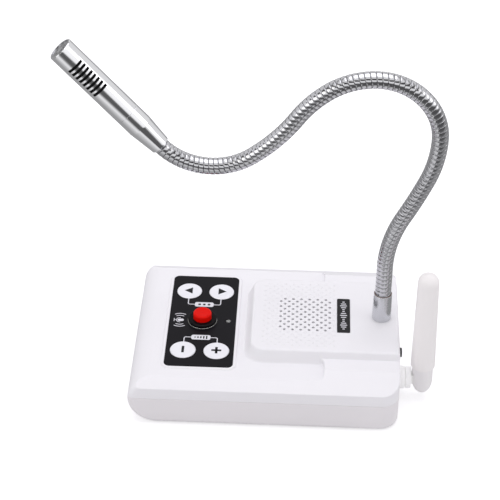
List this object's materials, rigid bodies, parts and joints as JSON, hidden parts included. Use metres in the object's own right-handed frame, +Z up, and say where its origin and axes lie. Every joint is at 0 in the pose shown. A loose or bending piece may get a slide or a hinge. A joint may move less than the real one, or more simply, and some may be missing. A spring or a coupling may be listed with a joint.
{
  "type": "teller window intercom",
  "caption": "Desktop counter intercom: flat housing with keys, push-to-talk button and speaker, gooseneck microphone and folding antenna.",
  "frame": {"origin": "centre of the base pad's underside, on the desk", "axes": "+X to the rear end with the gooseneck and antenna, +Y to the far long side, +Z up"},
  "size_m": [0.1842, 0.1, 0.1829],
  "materials": {
    "housing_plastic": "fine moulded texture",
    "pad_rubber": "matte",
    "label_film": "satin film",
    "key_white": "gloss",
    "button_black": "gloss",
    "button_red": "gloss",
    "lamp_lens": "clear tinted",
    "plate_black": "satin",
    "steel": "zinc plated",
    "neck_chrome": "polished",
    "mic_chrome": "polished",
    "cable_rubber": "matte",
    "mic_black": "matte",
    "cone_paper": "pressed paper",
    "magnet_iron": "plated",
    "board_green": "solder mask",
    "parts_black": "moulded",
    "brass_plated": "plated",
    "antenna_plastic": "satin"
  },
  "bodies": {
    "housing": {"top_cover": "housing_plastic", "bottom_cover": "housing_plastic", "base_pad": "pad_rubber", "case_screws": "steel", "control_label": "label_film", "keypad_board": "board_green", "tact_switches": "parts_black", "keypad_screws": "steel", "ptt_housing": "button_black", "ptt_nut": "steel", "ptt_contacts": "brass_plated", "ptt_spring": "steel", "status_led": "lamp_lens", "name_plate": "plate_black", "speaker_frame": "steel", "speaker_cone": "cone_paper", "speaker_magnet": "magnet_iron", "speaker_gasket": "pad_rubber", "main_board": "board_green", "board_screws": "steel", "board_parts": "parts_black", "radio_module": "steel", "dc_jack": "button_black", "dc_pin": "brass_plated", "power_switch": "steel", "antenna_jack": "brass_plated", "antenna_collar": "antenna_plastic", "neck_bush": "brass_plated", "neck_washer": "steel", "neck_nut": "steel", "neck_ferrule": "neck_chrome", "hose_1": "neck_chrome", "cable_1": "cable_rubber"},
    "ptt_button": {"ptt_cap": "button_red"},
    "left_key": {"key_left": "key_white"},
    "right_key": {"key_right": "key_white"},
    "minus_key": {"key_minus": "key_white"},
    "plus_key": {"key_plus": "key_white"},
    "power_slider": {"power_knob": "button_black"},
    "antenna_swivel": {"antenna_knuckle": "antenna_plastic"},
    "antenna_mast": {"antenna_fork": "antenna_plastic", "antenna_pin": "steel", "antenna_sleeve": "antenna_plastic", "antenna_element": "brass_plated"},
    "neck_lower": {"hose_2": "neck_chrome", "cable_2": "cable_rubber"},
    "neck_mid": {"hose_3": "neck_chrome", "cable_3": "cable_rubber"},
    "neck_crown": {"hose_4": "neck_chrome", "cable_4": "cable_rubber"},
    "neck_drop": {"hose_5": "neck_chrome", "cable_5": "cable_rubber"},
    "neck_tip": {"hose_6": "neck_chrome", "cable_6": "cable_rubber", "mic_rear_shell": "mic_chrome", "mic_tube": "mic_chrome", "mic_cap": "mic_chrome", "mic_capsule": "mic_black", "mic_grommet": "pad_rubber"}
  },
  "joints": [
    {"name": "neck_base_bend", "type": "hinge", "parent": "housing", "child": "neck_lower", "pos_m": [0.05711, 0, 0.07293], "axis": [0, 1, 0], "range_deg": [-15, 25]},
    {"name": "neck_side_bend", "type": "hinge", "parent": "neck_lower", "child": "neck_mid", "pos_m": [0.07304, 0, 0.11352], "axis": [-0.9272, 0, 0.3746], "range_deg": [-25, 25]},
    {"name": "neck_crown_bend", "type": "hinge", "parent": "neck_mid", "child": "neck_crown", "pos_m": [0.0673, 0, 0.15978], "axis": [0, 1, 0], "range_deg": [-10, 35]},
    {"name": "neck_drop_bend", "type": "hinge", "parent": "neck_crown", "child": "neck_drop", "pos_m": [0.02496, 0, 0.16053], "axis": [0, 1, 0], "range_deg": [-10, 30]},
    {"name": "mic_bend", "type": "hinge", "parent": "neck_drop", "child": "neck_tip", "pos_m": [-0.00979, 0, 0.12455], "axis": [0, 1, 0], "range_deg": [-25, 25]},
    {"name": "antenna_swivel_turn", "type": "hinge", "parent": "housing", "child": "antenna_swivel", "pos_m": [0.0771, -0.022, 0.0113], "axis": [1, 0, 0], "range_deg": [-90, 90]},
    {"name": "antenna_fold", "type": "hinge", "parent": "antenna_swivel", "child": "antenna_mast", "pos_m": [0.0771, -0.022, 0.0113], "axis": [0, 1, 0], "range_deg": [-3, 90]},
    {"name": "key_left_press", "type": "slide", "parent": "housing", "child": "left_key", "axis": [0, 0, -1], "range_m": [0, 0.0005], "stiffness_N_per_m": 3000, "springref_m": -0.00025},
    {"name": "key_right_press", "type": "slide", "parent": "housing", "child": "right_key", "axis": [0, 0, -1], "range_m": [0, 0.0005], "stiffness_N_per_m": 3000, "springref_m": -0.00025},
    {"name": "key_minus_press", "type": "slide", "parent": "housing", "child": "minus_key", "axis": [0, 0, -1], "range_m": [0, 0.0005], "stiffness_N_per_m": 3000, "springref_m": -0.00025},
    {"name": "key_plus_press", "type": "slide", "parent": "housing", "child": "plus_key", "axis": [0, 0, -1], "range_m": [0, 0.0005], "stiffness_N_per_m": 3000, "springref_m": -0.00025},
    {"name": "ptt_press", "type": "slide", "parent": "housing", "child": "ptt_button", "axis": [0, 0, -1], "range_m": [0, 0.0016], "stiffness_N_per_m": 1200, "springref_m": -0.0006, "deforming": ["ptt_spring"]},
    {"name": "power_slide", "type": "slide", "parent": "housing", "child": "power_slider", "axis": [0, 1, 0], "range_m": [0, 0.003]}
  ]
}
